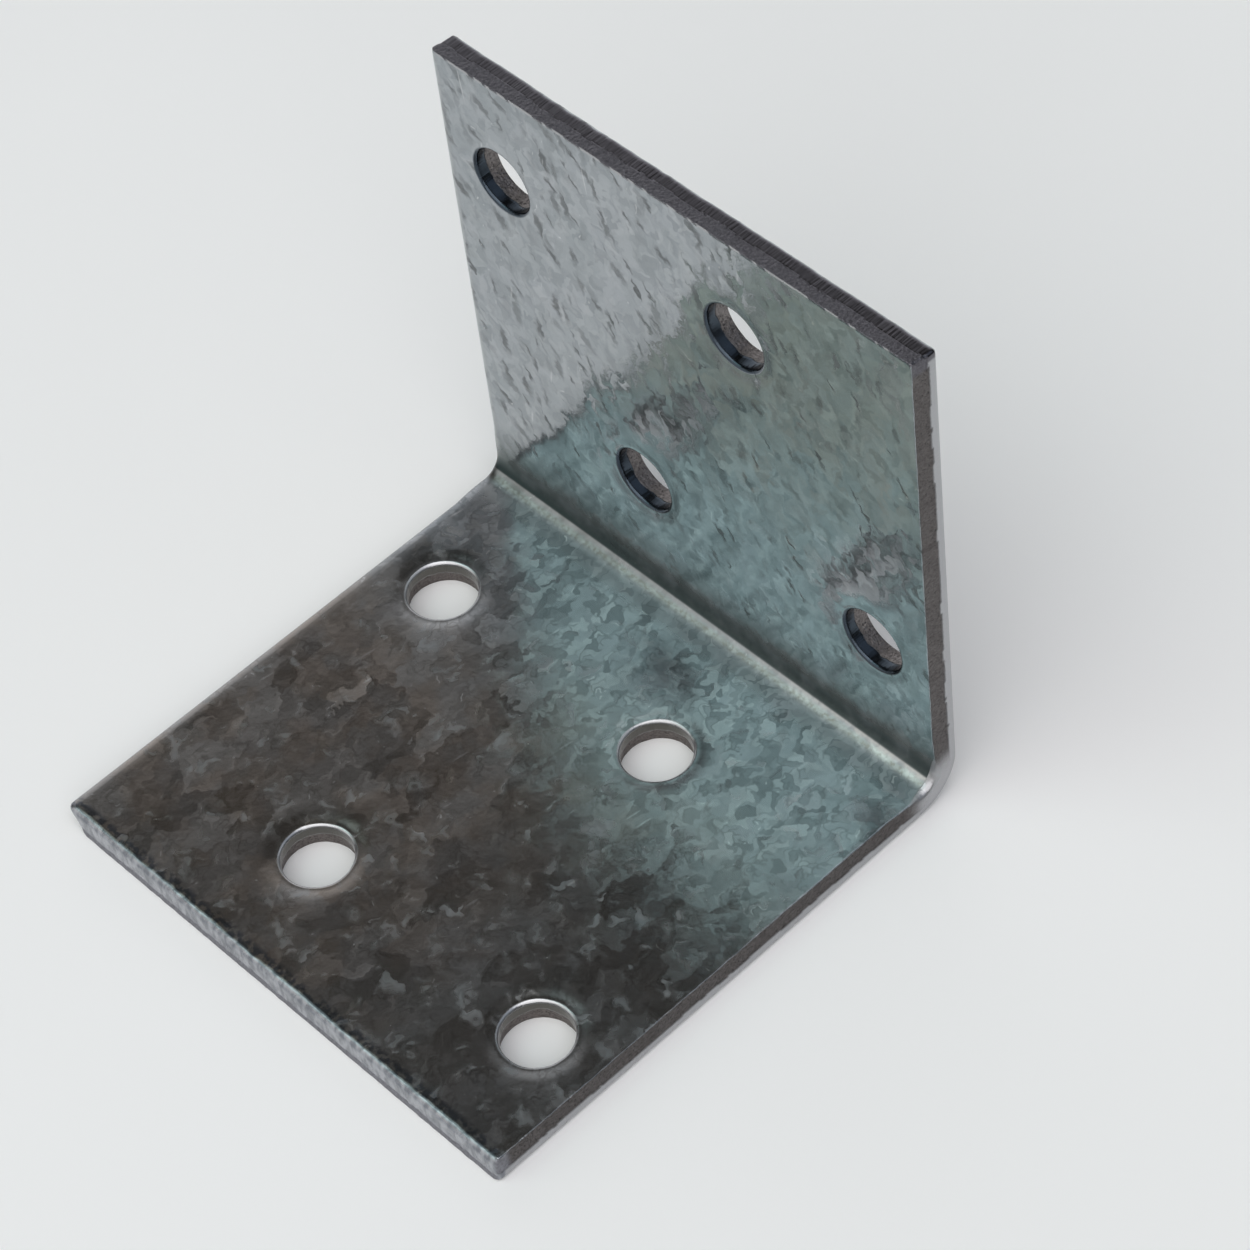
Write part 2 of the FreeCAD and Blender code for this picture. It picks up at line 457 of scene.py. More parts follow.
def outline_stations():
    """Return the stations round the outline: whether on a slit edge, its side and the place on it."""
    right = [(True, 1, place) for place in slit_stations()[:-1]]
    top = [(False, 1, place) for place in end_stations()[:0:-1]]
    left = [(True, -1, place) for place in slit_stations()[:0:-1]]
    bottom = [(False, -1, place) for place in end_stations()[:-1]]
    return right + top + left + bottom


def outline_levels():
    """Return each row's depth and how far in it lies on a face."""
    inner = [(0.0, share) for share in face_shares]
    edge = [(depth, 0.0) for depth in row_depths()]
    outer = [(thickness, share) for share in face_shares[::-1]]
    return inner + edge + outer


def stretched(place, last, reach):
    """Return a place near a corner moved on, so that the last one comes to lie at reach."""
    start = last - stretch_length
    beyond = abs(place) - start
    if beyond <= 0:
        return place
    return math.copysign(start + beyond * (reach - start) / stretch_length, place)


def worn(x, along, depth, reach_x, reach_along):
    """Return a place on the outline moved onto the worn corner, where it is near one."""
    inner_radius, outer_radius = worn_corners[math.copysign(1, x), math.copysign(1, along)]
    radius = inner_radius + (outer_radius - inner_radius) * depth / thickness
    before_side = reach_along - abs(along)
    before_end = reach_x - abs(x)
    if before_side >= radius or before_end >= radius:
        return x, along
    turn = math.pi / 4 * (1 + (before_end - before_side) / radius)
    new_x = reach_x - radius * (1 - math.cos(turn))
    new_along = reach_along - radius * (1 - math.sin(turn))
    return math.copysign(new_x, x), math.copysign(new_along, along)


def outline_point(on_slit, side, place, depth):
    """Return a station's point on the edge, the end of its fine rows, and how torn and smooth it is."""
    corner = math.copysign(1, place)
    if on_slit:
        inset, torn, smooth = slit_form(side, place, depth)
        reach_x = half_width - inset
        reach_along = strip_end - end_form(corner, side * rim_x, depth)[0]
        x = side * reach_x
        along = stretched(place, rim_end, reach_along)
        last = (side * rim_x, place)
    else:
        inset, torn, smooth = end_form(side, place, depth)
        reach_x = half_width - slit_form(corner, side * rim_end, depth)[0]
        reach_along = strip_end - inset
        x = stretched(place, rim_x, reach_x)
        along = side * reach_along
        last = (place, side * rim_end)
    return worn(x, along, depth, reach_x, reach_along), last, torn, smooth


def outline_rows(sheet):
    """Add the slit edges and the free ends; return the first and the last row."""
    rows = []
    for depth, share in outline_levels():
        row = []
        for station in outline_stations():
            (x, along), (last_x, last_along), torn, smooth = outline_point(*station, depth)
            x += share * (last_x - x)
            along += share * (last_along - along)
            if share > 0:
                row.append(sheet.add(x, along, depth))
            else:
                row.append(sheet.add(x, along, depth, torn, smooth))
        rows.append(row)
    sheet.join_rows(rows, closed=True)
    return rows[0], rows[-1]


def hole_profile(turn, layer):
    """Return radius, depth, torn and smooth down a hole's wall on one side of its axis."""
    x = hole_noise_radius * math.cos(turn)
    y = hole_noise_radius * math.sin(turn)
    mouth = mouth_radius * (1 + mouth_wander * ragged(x, y, layer, mouth_wander_size))
    wander = hole_tear_wander * ragged(x, y, layer + hole_tear_layer, hole_tear_size)
    start = hole_radius + mouth
    mouth_end = mouth_dip + mouth
    tear = mouth_end + hole_smooth + wander
    rings = [(inner_ring, 0.0, 0.0, 0.0)]
    for share in dip_shares:
        radius = start + share * (inner_ring - start)
        rings.append((radius, mouth_dip * math.exp(-((radius - start) / dip_reach) ** 2), 0.0, 0.0))
    for step in range(mouth_steps + 1):
        bend = math.pi / 2 * step / mouth_steps
        depth = mouth_dip + mouth * (1 - math.cos(bend))
        rings.append((start - mouth * math.sin(bend), depth, 0.0, step / mouth_steps))
    for share in smooth_shares:
        rings.append((hole_radius, mouth_end + share * (tear - mouth_end), 0.0, 1.0))
    for step in range(1, tear_steps + 1):
        depth = tear + (thickness - tear) * step / tear_steps
        flare = hole_flare * step / tear_steps
        rough = hole_tear_level + ragged(x, y, layer + depth, hole_rough_size) / 2
        rings.append((hole_radius + flare + hole_tear_roughness * rough, depth, 1.0, 0.0))
    brim = rings[-1][0]
    for share in brim_shares:
        rings.append((brim + share * (outer_ring - brim), thickness, 0.0, 0.0))
    return rings


def hole_rows(sheet, x, along, layer):
    """Add one punched hole; return its rings on the inner and the outer face."""
    columns = []
    for i in range(hole_points):
        turn = 2 * math.pi * i / hole_points
        points = []
        for radius, depth, torn, smooth in hole_profile(turn, layer):
            point_x = x + radius * math.cos(turn)
            point_along = along + radius * math.sin(turn)
            points.append(sheet.add(point_x, point_along, depth, torn, smooth))
        columns.append(points)
    rows = [list(row) for row in zip(*columns)]
    sheet.join_rows(rows, closed=True)
    return rows[0], rows[-1]


def hole_places():
    """Return x and place along the strip of every hole."""
    places = [(x, strip_end - end) for x, end in wall_holes]
    return places + [(x, end - strip_end) for x, end in base_holes]


def point_at(sheet, row, x, along):
    """Return the number of the row's point that lies at a place on the strip."""
    return next(i for i in row if math.dist(sheet.points[i][:2], (x, along)) < tolerance)


def fold_rows(sheet, row, depth):
    """Add the fold on one face between the outline's two sides; return its first and last line."""
    inner_places = np.linspace(-rim_x, rim_x, fold_columns + 1)[1:-1]
    lines = []
    for place in np.linspace(-half_fold, half_fold, fold_steps + 1):
        start = point_at(sheet, row, -rim_x, place)
        end = point_at(sheet, row, rim_x, place)
        middle = [sheet.add(x, place, depth) for x in inner_places]
        lines.append([start] + middle + [end])
    sheet.join_rows(lines, closed=False)
    return lines[0], lines[-1]


def face_border(sheet, row, line, side):
    """Return the points round one leg's face, in order."""
    rim = [i for i in row if sheet.points[i][1] * side > half_fold - tolerance]
    numbers = list(dict.fromkeys(rim + line))
    flat = np.array([sheet.points[i][:2] for i in numbers])
    leg_middle = side * (half_fold + flat_length / 2)
    turns = np.arctan2(flat[:, 1] - leg_middle, flat[:, 0])
    return [numbers[k] for k in np.argsort(turns, kind="stable")]


def fill_leg(sheet, border, rings, depth, side):
    """Fill one leg's face between its border and the holes."""
    loops = [border] + rings
    known = [i for loop in loops for i in loop]
    coords = [Vector(sheet.points[i][:2]) for i in known]
    edges = []
    start = 0
    for loop in loops:
        edges += [(start + k, start + (k + 1) % len(loop)) for k in range(len(loop))]
        start += len(loop)
    centres = [np.mean([sheet.points[i][:2] for i in ring], axis=0) for ring in rings]
    radius = math.dist(sheet.points[rings[0][0]][:2], centres[0])
    for x, place in scatter_places(side, centres, radius):
        known.append(sheet.add(x, place, depth))
        coords.append(Vector((x, place)))
    found, _, triangles, origins, _, _ = delaunay_2d_cdt(coords, edges, [], 0, merge_distance)
    for triangle in triangles:
        middle = sum((found[k] for k in triangle), Vector((0, 0))) / 3
        if min(math.dist(middle, centre) for centre in centres) > radius * ring_share:
            sheet.faces.append(tuple(known[origins[k][0]] for k in triangle))


def scatter_places(side, centres, radius):
    """Return loosely spread places inside a leg's face, clear of its outline and holes."""
    x_last = rim_x - scatter_step / 2
    first = half_fold + scatter_step / 2
    last = rim_end - scatter_step / 2
    places = []
    for row, along in enumerate(np.arange(first, last, scatter_step)):
        for x in np.arange(-x_last + (row % 2) * scatter_step / 2, x_last, scatter_step):
            place = (float(x), float(side * along))
            if min(math.dist(place, centre) for centre in centres) > radius + scatter_step / 4:
                places.append(place)
    return places


def make_sheet():
    """Return the flat strip: its edges, its holes, the fold and both faces of each leg."""
    sheet = Sheet()
    inner_row, outer_row = outline_rows(sheet)
    holes = []
    for number, (x, along) in enumerate(hole_places()):
        holes.append(hole_rows(sheet, x, along, hole_layer_step * number))
    for face, (row, depth) in enumerate([(inner_row, 0.0), (outer_row, thickness)]):
        base_line, wall_line = fold_rows(sheet, row, depth)
        rings = [hole[face] for hole in holes]
        wall_rings = rings[:len(wall_holes)]
        base_rings = rings[len(wall_holes):]
        fill_leg(sheet, face_border(sheet, row, wall_line, 1), wall_rings, depth, 1)
        fill_leg(sheet, face_border(sheet, row, base_line, -1), base_rings, depth, -1)
    return sheet


def folded(strip):
    """Return where the strip's points lie once it is folded, in millimetres."""
    x, along, depth = strip.T
    turn = np.clip((half_fold - along) / (2 * half_fold), 0, 1) * math.pi / 2
    beyond = np.maximum(np.abs(along) - half_fold, 0)
    radius = inside_radius + depth
    y = radius * np.cos(turn) - np.where(along < 0, beyond, 0)
    z = -radius * np.sin(turn) + np.where(along > 0, beyond, 0)
    swell = np.clip(1 - (y * y + z * z) / swell_reach ** 2, 0, 1) * swell_height
    near_edge = np.clip((np.abs(x) - half_width + swell_inset) / swell_inset, 0, 1) ** 2
    return np.stack([x + np.sign(x) * swell * near_edge, y + fold_y, z + fold_z], axis=1)


def set_attribute(mesh, name, kind, field, values):
    """Store one value for each point of the mesh."""
    attribute = mesh.attributes.new(name, kind, "POINT")
    attribute.data.foreach_set(field, values.astype(np.float32).ravel())


def add_object(name, data):
    """Add an object to the scene and return it."""
    piece = bpy.data.objects.new(name, data)
    bpy.context.scene.collection.objects.link(piece)
    return piece


def make_bracket():
    """Return the bracket's mesh object, closed and with smooth shading."""
    sheet = make_sheet()
    strip = np.array(sheet.points)
    mesh = bpy.data.meshes.new("angle_bracket_sheet")
    mesh.from_pydata((folded(strip) * millimetre).tolist(), [], sheet.faces)
    set_attribute(mesh, "strip", "FLOAT_VECTOR", "vector", strip)
    set_attribute(mesh, "torn", "FLOAT", "value", np.array(sheet.torn))
    set_attribute(mesh, "smooth", "FLOAT", "value", np.array(sheet.smooth))
    work = bmesh.new()
    work.from_mesh(mesh)
    bmesh.ops.recalc_face_normals(work, faces=work.faces)
    work.to_mesh(mesh)
    work.free()
    mesh.shade_smooth()
    return add_object("angle_bracket_sheet", mesh)


class Nodes:
    """Short ways to add and join the nodes of one tree."""

    def __init__(self, owner):
        owner.use_nodes = True
        owner.node_tree.nodes.clear()
        self.tree = owner.node_tree

    def add(self, kind, inputs=None, **settings):
        """Add a node, set it up and join or fill its inputs."""
        node = self.tree.nodes.new(kind)
        for name, value in settings.items():
            setattr(node, name, value)
        for name, value in (inputs or {}).items():
            self.feed(node.inputs[name], value)
        return node

    def feed(self, socket, value):
        """Join a socket to another, or write a plain value or an opaque colour into it."""
        if isinstance(value, bpy.types.NodeSocket):
            self.tree.links.new(value, socket)
        elif socket.type == "RGBA":
            socket.default_value = (*value, 1.0)
        else:
            socket.default_value = value

    def surface(self, inputs):
        """Add a material's surface and its output."""
        shader = self.add("ShaderNodeBsdfPrincipled", inputs)
        self.add("ShaderNodeOutputMaterial", {"Surface": shader.outputs[0]})

    def attribute(self, name, output):
        """Return a value that is stored for each point of the mesh."""
        return self.add("ShaderNodeAttribute", attribute_name=name).outputs[output]

    def math(self, operation, first, second=0.0):
        """Return the result of a sum on two numbers."""
        return self.add("ShaderNodeMath", {0: first, 1: second}, operation=operation).outputs[0]

    def chain(self, operation, values):
        """Return the result of the same sum on several numbers, one after the other."""
        result = values[0]
        for value in values[1:]:
            result = self.math(operation, result, value)
        return result

    def total(self, *values):
        """Return several numbers added up."""
        return self.chain("ADD", values)

    def product(self, *values):
        """Return several numbers multiplied."""
        return self.chain("MULTIPLY", values)

    def largest(self, *values):
        """Return the largest of several numbers."""
        return self.chain("MAXIMUM", values)

    def vector(self, operation, first, second=(0.0, 0.0, 0.0)):
        """Return the result of a sum on two vectors."""
        return self.add("ShaderNodeVectorMath", {0: first, 1: second}, operation=operation).outputs[0]

    def together(self, *vectors):
        """Return several vectors added up."""
        result = vectors[0]
        for vector in vectors[1:]:
            result = self.vector("ADD", result, vector)
        return result

    def scale(self, vector, factor):
        """Return a vector made longer or shorter."""
        inputs = {0: vector, "Scale": factor}
        return self.add("ShaderNodeVectorMath", inputs, operation="SCALE").outputs[0]

    def spread(self, value, low, high, to_low=0.0, to_high=1.0):
        """Return a value moved smoothly from one range to another."""
        inputs = {"Value": value, "From Min": low, "From Max": high, "To Min": to_low, "To Max": to_high}
        return self.add("ShaderNodeMapRange", inputs, interpolation_type="SMOOTHSTEP").outputs[0]

    def mix(self, share, first, second):
        """Return a mix of two colours; their sockets' names repeat, so they go by number."""
        inputs = {"Factor": share, 6: first, 7: second}
        return self.add("ShaderNodeMix", inputs, data_type="RGBA").outputs[2]

    def parts(self, colour):
        """Return a colour's three numbers."""
        return self.add("ShaderNodeSeparateColor", {"Color": colour}).outputs

    def clouds(self, place, size, detail):
        """Return soft noise of the given size on the flat strip: its value and its colour."""
        inputs = {"Vector": place, "Scale": 1.0 / size, "Detail": detail}
        node = self.add("ShaderNodeTexNoise", inputs, noise_dimensions="2D")
        return node.outputs[0], node.outputs[1]

    def lumps(self, vector, size, detail):
        """Return rough noise of the given size in space."""
        inputs = {"Vector": vector, "Scale": 1.0 / size, "Detail": detail}
        return self.add("ShaderNodeTexNoise", inputs).outputs[0]

    def cells(self, place, size):
        """Return cells on the flat strip: distance from the middle of each and a random colour."""
        inputs = {"Vector": place, "Scale": 1.0 / size}
        node = self.add("ShaderNodeTexVoronoi", inputs, voronoi_dimensions="2D")
        return node.outputs["Distance"], node.outputs["Color"]

    def borders(self, place, size):
        """Return the distance from the borders between the same cells, in cell sizes."""
        inputs = {"Vector": place, "Scale": 1.0 / size}
        settings = {"voronoi_dimensions": "2D", "feature": "DISTANCE_TO_EDGE"}
        return self.add("ShaderNodeTexVoronoi", inputs, **settings).outputs["Distance"]


class Place:
    """What a material can tell of a point on the strip: where it lies and how it was cut."""

    def __init__(self, nodes):
        self.strip = nodes.attribute("strip", "Vector")
        self.torn = nodes.attribute("torn", "Fac")
        self.smooth = nodes.attribute("smooth", "Fac")
        separate = nodes.add("ShaderNodeSeparateXYZ", {"Vector": self.strip})
        self.across, self.along, self.depth = separate.outputs
        self.from_middle = nodes.math("ABSOLUTE", self.across)
        self.from_fold = nodes.math("ABSOLUTE", self.along)
        self.on_base = nodes.spread(self.along, *base_along)
        self.on_inside = nodes.spread(self.depth, *inside_depth)
        off_slits = nodes.spread(self.from_middle, *hole_across)
        self.in_hole = nodes.product(off_slits, nodes.spread(self.from_fold, *hole_along))
        on_outside = nodes.math("GREATER_THAN", self.depth, thickness / 2)
        shifted = nodes.total(self.across, nodes.product(on_outside, outer_face_shift))
        self.flat = nodes.add("ShaderNodeCombineXYZ", {"X": shifted, "Y": self.along}).outputs[0]
        self.drift, drift_colour = nodes.clouds(self.flat, *drift_noise)
        self.ripple = nodes.clouds(self.flat, *ripple_noise)[0]
        self.speckle, self.speckle_colour = nodes.clouds(self.flat, *speckle_noise)
        broad = centred(nodes, drift_colour, broad_push)
        fine = centred(nodes, nodes.clouds(self.flat, *ruffle_noise)[1], fine_push)
        pushed = nodes.vector("ADD", self.flat, fine)
        self.ruffled = nodes.vector("ADD", pushed, nodes.scale(broad, ruffled_share))
        self.wavy = nodes.vector("ADD", pushed, broad)


class Coat:
    """The zinc coat's patterns: grains, facets, seams, specks, mottle, strokes, flecks and scratches."""

    def __init__(self, nodes, place):
        grain_place = nodes.vector("MULTIPLY", place.wavy, grain_stretch)
        self.grain_colour = nodes.cells(grain_place, grain_size)[1]
        self.grain, self.grain_gloss, self.grain_stain = nodes.parts(self.grain_colour)
        facet_place = nodes.vector("MULTIPLY", place.wavy, facet_stretch)
        from_middle, self.facet_colour = nodes.cells(facet_place, facet_size)
        self.facet, _, speckled = nodes.parts(self.facet_colour)
        near_border = nodes.spread(nodes.borders(facet_place, facet_size), *seam_width)
        self.seam = nodes.product(near_border, nodes.spread(place.drift, *seam_patches))
        near_middle = nodes.spread(from_middle, *speck_width)
        self.speck = nodes.product(near_middle, nodes.spread(speckled, *speck_rarity))
        mottle_place = nodes.vector("MULTIPLY", place.wavy, mottle_stretch)
        self.mottle = nodes.clouds(mottle_place, *mottle_noise)[0]
        on_flat = nodes.spread(place.from_fold, *stroke_from_fold)
        upper_left = nodes.spread(nodes.math("SUBTRACT", place.along, place.across), *stroke_corner)
        long_strokes = nodes.product(strokes(nodes, place.ruffled, stroke_forms), upper_left)
        dashes = strokes(nodes, place.ruffled, dash_forms)
        self.stroke = nodes.product(nodes.largest(long_strokes, dashes), on_flat)
        self.fleck = nodes.product(strokes(nodes, place.wavy, fleck_forms), on_flat)
        self.scratch = nodes.product(strokes(nodes, place.flat, scratch_forms), on_flat)


def centred(nodes, colour, amount):
    """Return a random colour as a vector that points any way, up to the given length."""
    return nodes.scale(nodes.vector("SUBTRACT", colour, (0.5, 0.5, 0.5)), 2 * amount)


def by_leg(nodes, place, strengths):
    """Return one strength on the wall leg and another on the base leg."""
    return nodes.spread(place.on_base, 0.0, 1.0, *strengths)


def strokes(nodes, place, forms):
    """Return strokes of several forms together."""
    return nodes.largest(*[slanted_strokes(nodes, place, *form) for form in forms])


def slanted_strokes(nodes, place, slant, shift, breadth, slimness, width, softness, rarity):
    """Return soft strokes at a slant to the strip's length, each of its own width and strength."""
    inputs = {"Vector": place, "Location": (shift, 0.0, 0.0), "Rotation": (0.0, 0.0, slant),
              "Scale": (1.0, 1.0 / slimness, 1.0)}
    turned = nodes.add("ShaderNodeMapping", inputs, vector_type="TEXTURE").outputs[0]
    from_middle, colour = nodes.cells(turned, breadth)
    chosen, own_width, _ = nodes.parts(colour)
    within = nodes.math("SUBTRACT", nodes.product(own_width, width), from_middle)
    stroke = nodes.spread(within, -softness * width, softness * width)
    return nodes.product(stroke, nodes.spread(chosen, rarity, 1.0))


def zinc_material():
    """Return the zinc coat with its marks, tarnish and painted light and shade, and the bare steel of the
    cut edges.
    """
    material = bpy.data.materials.new("galvanised_sheet")
    nodes = Nodes(material)
    place = Place(nodes)
    coat = Coat(nodes, place)
    dull = dullness(nodes, place, coat)
    bare = nodes.spread(place.smooth, *zinc_fading)
    cut = nodes.mix(bare, coat_colour(nodes, place, coat), smooth_steel(nodes, place))
    colour = nodes.mix(place.torn, cut, torn_steel(nodes, place))
    tilted = tilted_normal(nodes, place, coat, dull)
    inputs = {"Height": relief(nodes, place), "Normal": tilted, "Distance": relief_height}
    normal = nodes.add("ShaderNodeBump", inputs).outputs[0]
    rough = roughness(nodes, place, coat, dull)
    nodes.surface({"Base Color": colour, "Metallic": 1.0, "Roughness": rough, "Normal": normal})
    return material


def dullness(nodes, place, coat):
    """Return where the coat is dull: in the wall leg's strokes and in the base leg's flecks."""
    stroke = nodes.product(coat.stroke, by_leg(nodes, place, stroke_dulling))
    fleck = nodes.product(coat.fleck, by_leg(nodes, place, fleck_dulling))
    return nodes.largest(stroke, fleck)


def roughness(nodes, place, coat, dull):
    """Return how rough the surface is; a mouth is roughest half-way round its bend."""
    in_mouth = nodes.product(place.smooth, nodes.math("SUBTRACT", 1.0, place.smooth), 4.0)  # 1 half-way
    in_fold = nodes.product(nodes.spread(place.from_fold, *fold_rough_reach), place.on_inside)
    return nodes.total(
        nodes.product(coat.grain_gloss, grain_roughness),
        by_leg(nodes, place, leg_roughness),
        nodes.product(dull, dull_roughness),
        nodes.product(in_fold, fold_roughness),
        nodes.product(in_mouth, mouth_roughness),
        nodes.product(place.smooth, smooth_roughness),
        nodes.product(place.torn, torn_roughness))


def coat_colour(nodes, place, coat):
    """Return the colour of the zinc coat, with each mark and each painted highlight or shade laid over the
    ones before it.
    """
    colour = nodes.mix(coat.grain, *grain_colours)
    marks = coat_marks(nodes, place, coat) + fold_painted_light(nodes, place)
    marks.append((end_shadow(nodes, place), shadow_colour))
    for strength, mark_colour in marks:
        colour = nodes.mix(strength, colour, mark_colour)
    return colour


def coat_marks(nodes, place, coat):
    """Return strength and colour of the marks all over the coat, from the lowest to the topmost; the last
    is painted shade along the rolled left edge.
    """
    contrast = nodes.product(by_leg(nodes, place, facet_contrast), nodes.spread(place.along, *facet_fading))
    scratch = nodes.product(coat.scratch, scratch_strength)
    speck = nodes.product(coat.speck, speck_strength)
    # Painted shade along the rolled left edge of the inner face
    rolled = nodes.product(nodes.spread(place.across, *rolled_shade_across), place.on_inside, rolled_shade_strength)
    return [
        (nodes.product(nodes.spread(coat.facet, *dark_facets), contrast), dark_facet_colour),
        (nodes.product(nodes.spread(coat.facet, *pale_facets), contrast), pale_facet_colour),
        (nodes.spread(coat.mottle, *pale_mottle), pale_mottle_colour),
        (nodes.spread(coat.mottle, *dark_mottle), dark_mottle_colour),
        (nodes.product(coat.stroke, by_leg(nodes, place, stroke_darkening)), stroke_colour),
        (nodes.product(coat.seam, by_leg(nodes, place, seam_darkening)), seam_colour),
        (tarnish(nodes, place, coat), tarnish_colour),
        (nodes.largest(scratch, speck), bright_colour),
        (rolled, rolled_shade_colour),
    ]


def fold_painted_light(nodes, place):
    """Return strength and colour of the painted highlight and shade along the fold, from the lowest to the
    topmost.
    """
    return [
        (fold_lower_painted_shade(nodes, place), lower_shade_colour),
        (fold_left_painted_shade(nodes, place), left_shade_colour),
        (fold_painted_highlight(nodes, place), highlight_colour),
        (fold_foot_painted_shade(nodes, place), foot_shade_colour),
        (fold_painted_dark_line(nodes, place), dark_line_colour),
    ]


def tarnish(nodes, place, coat):
    """Return where the outer half of the base leg has turned brown, whole grains at a time."""
    outwards = nodes.spread(place.along, *tarnish_along)
    leg = nodes.product(outwards, nodes.spread(place.across, *tarnish_across))
    clouds = nodes.clouds(place.flat, *tarnish_noise)[0]
    patches = nodes.total(clouds, nodes.product(coat.grain_stain, tarnish_by_grain))
    off_flecks = nodes.spread(coat.fleck, *tarnish_by_fleck)
    return nodes.product(leg, nodes.spread(patches, *tarnish_patches), off_flecks)


def fold_band(nodes, place, start, stop, *strengths):
    """Return a band along the fold's inner face that begins and ends over two spans."""
    begun = nodes.spread(place.along, *start)
    ended = nodes.spread(place.along, *stop)
    return nodes.product(begun, ended, *strengths, place.on_inside)


def fold_lower_painted_shade(nodes, place):
    """Return where painted shade darkens and warms the lower half of the fold on the inner face, toning its
    reflection down.
    """
    uneven = nodes.spread(place.speckle, *lower_shade_speckle)
    return fold_band(nodes, place, lower_shade_start, lower_shade_stop, uneven)


def fold_left_painted_shade(nodes, place):
    """Return where painted shade dims the fold on the inner face, more so towards the left."""
    left = nodes.spread(place.across, *left_shade_across)
    uneven = nodes.spread(place.drift, *left_shade_drift)
    return fold_band(nodes, place, left_shade_start, left_shade_stop, left, uneven)


def fold_painted_highlight(nodes, place):
    """Return where a painted highlight brightens the fold's inner face, more so towards the right."""
    wandering = nodes.total(place.along, nodes.spread(place.drift, *highlight_wander))
    start = nodes.spread(wandering, *highlight_start)
    stop = nodes.spread(place.along, *highlight_stop)
    right = nodes.spread(place.across, *highlight_across)
    uneven = nodes.spread(place.speckle, *highlight_speckle)
    return nodes.product(start, stop, right, uneven, place.on_inside)


def fold_foot_painted_shade(nodes, place):
    """Return where painted shade darkens the upper half of the fold's inner face and the wall leg's foot.
    """
    fading = nodes.math("POWER", nodes.spread(place.along, *foot_shade_stop), foot_shade_power)
    start = nodes.spread(place.along, *foot_shade_start)
    uneven = nodes.spread(place.drift, *foot_shade_drift)
    return nodes.product(fading, start, uneven, place.on_inside)


def fold_painted_dark_line(nodes, place):
    """Return where a dark line of painted shade follows the upper side of the fold on the inner face."""
    left = nodes.spread(place.across, *dark_line_across)
    return fold_band(nodes, place, dark_line_start, dark_line_stop, left)


def end_shadow(nodes, place):
    """Return the broken dark line on the base leg's inner face, just before its free end."""
    before_end = nodes.spread(place.along, *shadow_along)
    broken = nodes.spread(place.ripple, *shadow_breaks)
    return nodes.product(before_end, broken, place.on_inside, shadow_strength)


def smooth_steel(nodes, place):
    """Return the colour of the smooth cut bands, with painted shade that darkens them on the wall leg's
    end, in its holes and down the base leg's holes.
    """
    drawn = nodes.vector("MULTIPLY", place.strip, streak_stretch)
    streaks = nodes.spread(nodes.lumps(drawn, *streak_noise), *streak_shades)
    base_end = nodes.mix(streaks, *base_end_smooth)
    wall_end = nodes.mix(place.speckle, *shaded_wall_end_smooth)
    at_wall_end = nodes.spread(place.along, *wall_end_along)
    below_burr = nodes.spread(place.depth, *wall_end_depth)
    slit_or_base = nodes.mix(nodes.spread(place.along, *base_end_along), slit_smooth, base_end)
    edge = nodes.mix(nodes.product(at_wall_end, below_burr), slit_or_base, wall_end)
    below_mouth = nodes.spread(place.smooth, *mouth_fading)
    base_hole = nodes.mix(below_mouth, base_mouth, shaded_base_hole_smooth)
    hole = nodes.mix(place.on_base, shaded_wall_hole_smooth, base_hole)
    return nodes.mix(place.in_hole, edge, hole)


def torn_steel(nodes, place):
    """Return the colour of torn steel: darkest along the slit edges, paler at the ends and in the holes.
    Painted shade keeps it nearly as dark on the wall leg's end, and painted light makes it paler still on
    the base leg's end and in the wall leg's holes.
    """
    fine = nodes.lumps(place.strip, *torn_noise)
    pits = nodes.spread(nodes.lumps(place.strip, *pit_noise), *pit_depths)
    slit = nodes.mix(pits, nodes.mix(fine, *slit_torn), pit_colour)
    wall_hole = nodes.mix(fine, *lit_wall_hole_torn)
    base_hole = nodes.mix(fine, *base_hole_torn)
    hole = nodes.mix(pits, nodes.mix(place.on_base, wall_hole, base_hole), pit_colour)
    wall_end = nodes.mix(fine, *shaded_wall_end_torn)
    base_end = nodes.mix(fine, *lit_base_end_torn)
    end = nodes.mix(place.on_base, wall_end, base_end)
    near_slit = nodes.spread(place.from_middle, *slit_across)
    on_slit = nodes.product(near_slit, nodes.spread(place.from_fold, *slit_along))
    return nodes.mix(on_slit, nodes.mix(place.in_hole, end, hole), slit)


def coat_tilt(nodes, place, coat, dull):
    """Return how each grain and facet leans its own way, less so near the fold."""
    grain = centred(nodes, coat.grain_colour, grain_lean)
    facet = centred(nodes, coat.facet_colour, facet_lean)
    dulled = nodes.scale(centred(nodes, coat.facet_colour, dull_lean), dull)
    uncut = nodes.math("SUBTRACT", 1.0, nodes.largest(place.torn, place.smooth))
    off_fold = nodes.spread(place.from_fold, *lean_from_fold)
    share = nodes.product(uncut, off_fold, by_leg(nodes, place, leg_lean))
    return nodes.scale(nodes.together(grain, facet, dulled), share)


